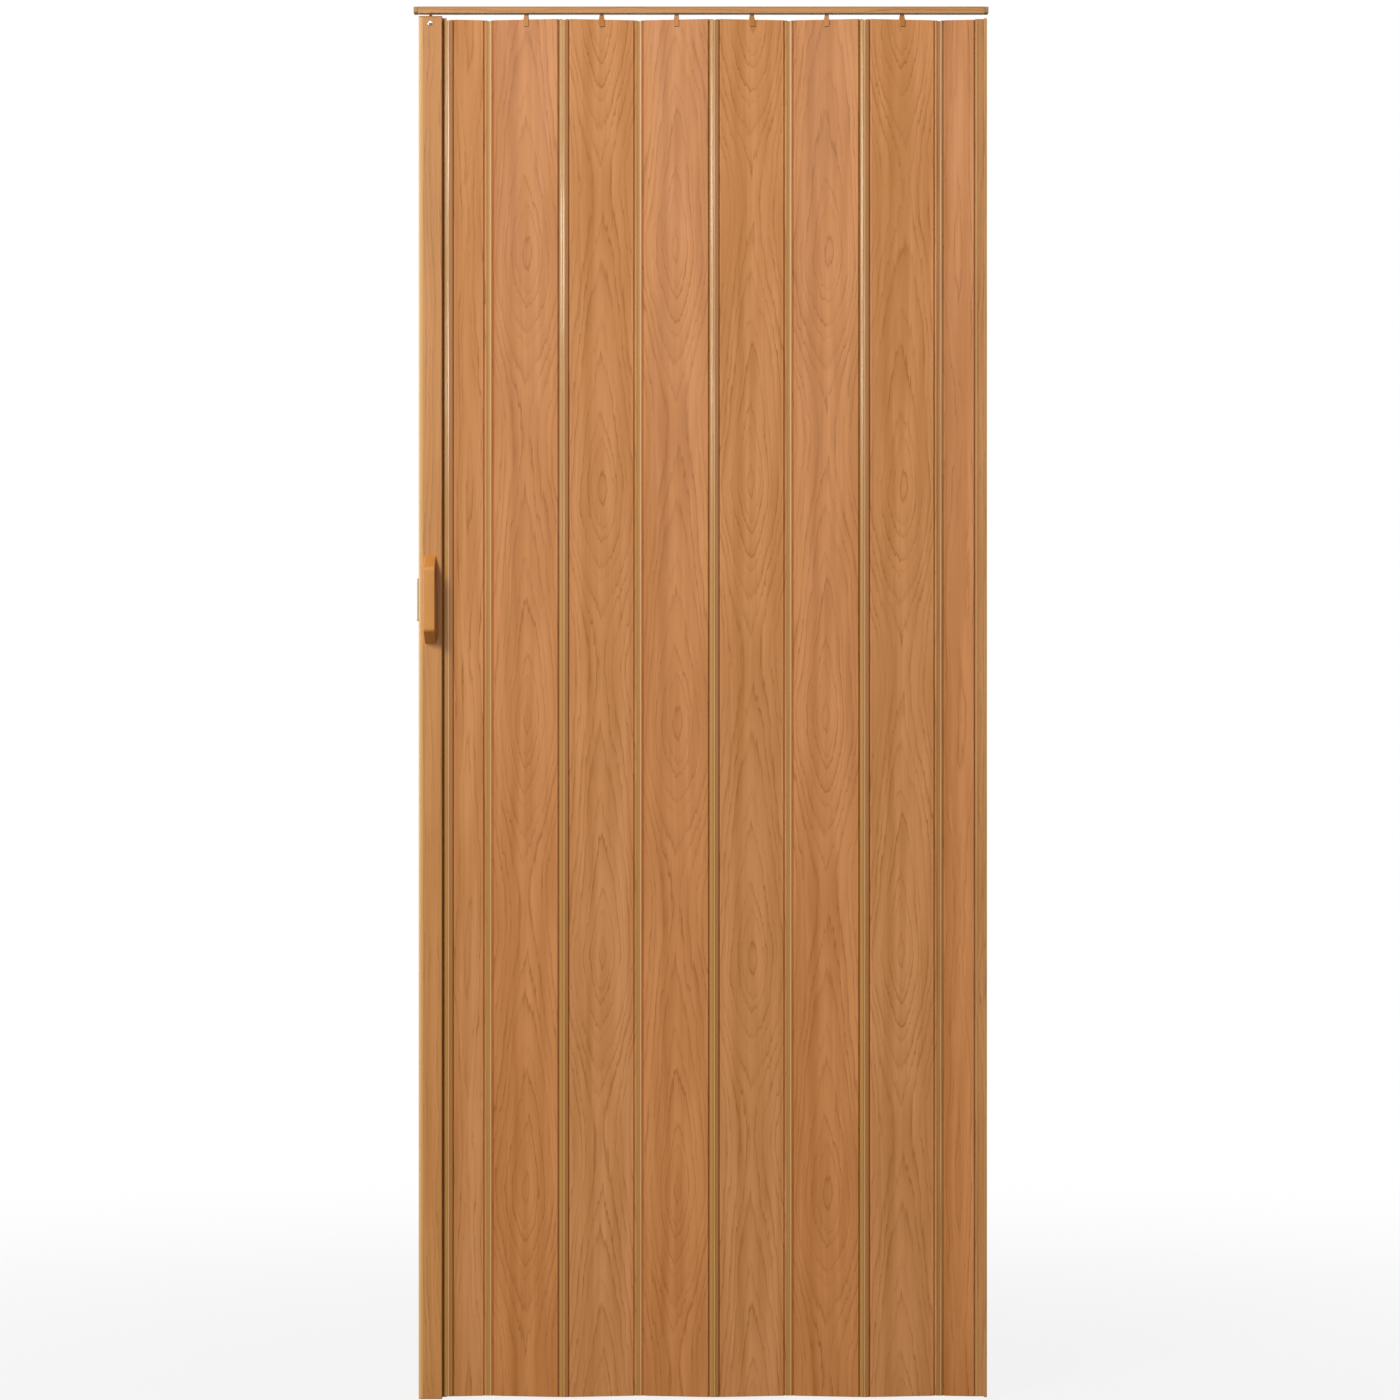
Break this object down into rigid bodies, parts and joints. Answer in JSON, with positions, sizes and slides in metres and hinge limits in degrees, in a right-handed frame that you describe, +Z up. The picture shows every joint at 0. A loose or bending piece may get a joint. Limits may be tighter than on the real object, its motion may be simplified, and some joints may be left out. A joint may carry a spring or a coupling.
{
  "type": "folding door",
  "caption": "Concertina folding door of hollow wood-grained panels with hinge strips, hung on hangers in a ceiling track, with a wall profile and a lead post with handles and a catch.",
  "frame": {"origin": "middle of the track's top face, where the track meets the lintel", "axes": "+Z up, the front faces -Y, +X towards the wall profile; the lead post closes towards -X"},
  "size_m": [0.8434, 0.0926, 2.0425],
  "materials": {
    "pvc_wood_foil": "hard PVC under a satin beech-coloured wood-grain foil",
    "pvc_hinge_strip": "smooth semi-gloss PVC in the colour of the panels, a little more golden",
    "pvc_track": "satin PVC with a plain straight wood grain",
    "moulded_plastic": "injection-moulded orange-brown plastic, semi-gloss",
    "pale_plastic": "moulded ivory plastic",
    "chrome_plate": "bright plated steel",
    "zinc_plate": "zinc-plated steel",
    "ferrite_magnet": "dark grey magnet"
  },
  "bodies": {
    "frame": {"track": "pvc_track", "track_cap_left": "moulded_plastic", "track_cap_right": "moulded_plastic", "wall_jamb": "pvc_wood_foil"},
    "half_panel_right": {"half_panel_right": "pvc_wood_foil"},
    "hinge_strip_7": {"hinge_strip_7": "pvc_hinge_strip"},
    "panel_6": {"panel_6": "pvc_wood_foil", "hanger_6": "moulded_plastic"},
    "hinge_strip_6": {"hinge_strip_6": "pvc_hinge_strip"},
    "panel_5": {"panel_5": "pvc_wood_foil", "hanger_5": "moulded_plastic"},
    "hinge_strip_5": {"hinge_strip_5": "pvc_hinge_strip"},
    "panel_4": {"panel_4": "pvc_wood_foil", "hanger_4": "moulded_plastic"},
    "hinge_strip_4": {"hinge_strip_4": "pvc_hinge_strip"},
    "panel_3": {"panel_3": "pvc_wood_foil", "hanger_3": "moulded_plastic"},
    "hinge_strip_3": {"hinge_strip_3": "pvc_hinge_strip"},
    "panel_2": {"panel_2": "pvc_wood_foil", "hanger_2": "moulded_plastic"},
    "hinge_strip_2": {"hinge_strip_2": "pvc_hinge_strip"},
    "panel_1": {"panel_1": "pvc_wood_foil", "hanger_1": "moulded_plastic"},
    "hinge_strip_1": {"hinge_strip_1": "pvc_hinge_strip"},
    "half_panel_left": {"half_panel_left": "pvc_wood_foil"},
    "lead_post": {"lead_post": "pvc_wood_foil", "post_hinge_strip": "pvc_hinge_strip", "post_runner": "moulded_plastic", "post_foot_cap": "moulded_plastic", "runner_screw": "chrome_plate", "handle_front": "moulded_plastic", "handle_back": "moulded_plastic", "handle_upper_screw": "zinc_plate", "handle_lower_screw": "zinc_plate", "catch_case": "pale_plastic", "catch_magnet": "ferrite_magnet", "catch_upper_screw": "zinc_plate", "catch_lower_screw": "zinc_plate"}
  },
  "joints": [
    {"name": "half_panel_right_hinge", "type": "hinge", "parent": "frame", "child": "half_panel_right", "pos_m": [0.40547, 0, -1], "axis": [0, 0, -1], "range_deg": [-3.55, 72]},
    {"name": "hinge_strip_7_hinge", "type": "hinge", "parent": "half_panel_right", "child": "hinge_strip_7", "pos_m": [0.35482, 0.00712, -1], "axis": [0, 0, 1], "range_deg": [-3.55, 72]},
    {"name": "panel_6_hinge", "type": "hinge", "parent": "hinge_strip_7", "child": "panel_6", "pos_m": [0.34582, 0.00712, -1], "axis": [0, 0, 1], "range_deg": [-3.55, 72]},
    {"name": "hinge_strip_6_hinge", "type": "hinge", "parent": "panel_6", "child": "hinge_strip_6", "pos_m": [0.24451, -0.00712, -1], "axis": [0, 0, -1], "range_deg": [-3.55, 72]},
    {"name": "panel_5_hinge", "type": "hinge", "parent": "hinge_strip_6", "child": "panel_5", "pos_m": [0.23551, -0.00712, -1], "axis": [0, 0, -1], "range_deg": [-3.55, 72]},
    {"name": "hinge_strip_5_hinge", "type": "hinge", "parent": "panel_5", "child": "hinge_strip_5", "pos_m": [0.13421, 0.00712, -1], "axis": [0, 0, 1], "range_deg": [-3.55, 72]},
    {"name": "panel_4_hinge", "type": "hinge", "parent": "hinge_strip_5", "child": "panel_4", "pos_m": [0.12521, 0.00712, -1], "axis": [0, 0, 1], "range_deg": [-3.55, 72]},
    {"name": "hinge_strip_4_hinge", "type": "hinge", "parent": "panel_4", "child": "hinge_strip_4", "pos_m": [0.0239, -0.00712, -1], "axis": [0, 0, -1], "range_deg": [-3.55, 72]},
    {"name": "panel_3_hinge", "type": "hinge", "parent": "hinge_strip_4", "child": "panel_3", "pos_m": [0.0149, -0.00712, -1], "axis": [0, 0, -1], "range_deg": [-3.55, 72]},
    {"name": "hinge_strip_3_hinge", "type": "hinge", "parent": "panel_3", "child": "hinge_strip_3", "pos_m": [-0.0864, 0.00712, -1], "axis": [0, 0, 1], "range_deg": [-3.55, 72]},
    {"name": "panel_2_hinge", "type": "hinge", "parent": "hinge_strip_3", "child": "panel_2", "pos_m": [-0.0954, 0.00712, -1], "axis": [0, 0, 1], "range_deg": [-3.55, 72]},
    {"name": "hinge_strip_2_hinge", "type": "hinge", "parent": "panel_2", "child": "hinge_strip_2", "pos_m": [-0.1967, -0.00712, -1], "axis": [0, 0, -1], "range_deg": [-3.55, 72]},
    {"name": "panel_1_hinge", "type": "hinge", "parent": "hinge_strip_2", "child": "panel_1", "pos_m": [-0.2057, -0.00712, -1], "axis": [0, 0, -1], "range_deg": [-3.55, 72]},
    {"name": "hinge_strip_1_hinge", "type": "hinge", "parent": "panel_1", "child": "hinge_strip_1", "pos_m": [-0.30701, 0.00712, -1], "axis": [0, 0, 1], "range_deg": [-3.55, 72]},
    {"name": "half_panel_left_hinge", "type": "hinge", "parent": "hinge_strip_1", "child": "half_panel_left", "pos_m": [-0.31601, 0.00712, -1], "axis": [0, 0, 1], "range_deg": [-3.55, 72]},
    {"name": "fold", "type": "hinge", "parent": "half_panel_left", "child": "lead_post", "pos_m": [-0.36666, 0, -1], "axis": [0, 0, -1], "range_deg": [-3.55, 72]}
  ],
  "couplings": [
    {"joint": "half_panel_right_hinge", "follows": "fold", "ratio": 1},
    {"joint": "hinge_strip_7_hinge", "follows": "fold", "ratio": 1},
    {"joint": "panel_6_hinge", "follows": "fold", "ratio": 1},
    {"joint": "hinge_strip_6_hinge", "follows": "fold", "ratio": 1},
    {"joint": "panel_5_hinge", "follows": "fold", "ratio": 1},
    {"joint": "hinge_strip_5_hinge", "follows": "fold", "ratio": 1},
    {"joint": "panel_4_hinge", "follows": "fold", "ratio": 1},
    {"joint": "hinge_strip_4_hinge", "follows": "fold", "ratio": 1},
    {"joint": "panel_3_hinge", "follows": "fold", "ratio": 1},
    {"joint": "hinge_strip_3_hinge", "follows": "fold", "ratio": 1},
    {"joint": "panel_2_hinge", "follows": "fold", "ratio": 1},
    {"joint": "hinge_strip_2_hinge", "follows": "fold", "ratio": 1},
    {"joint": "panel_1_hinge", "follows": "fold", "ratio": 1},
    {"joint": "hinge_strip_1_hinge", "follows": "fold", "ratio": 1},
    {"joint": "half_panel_left_hinge", "follows": "fold", "ratio": 1}
  ]
}
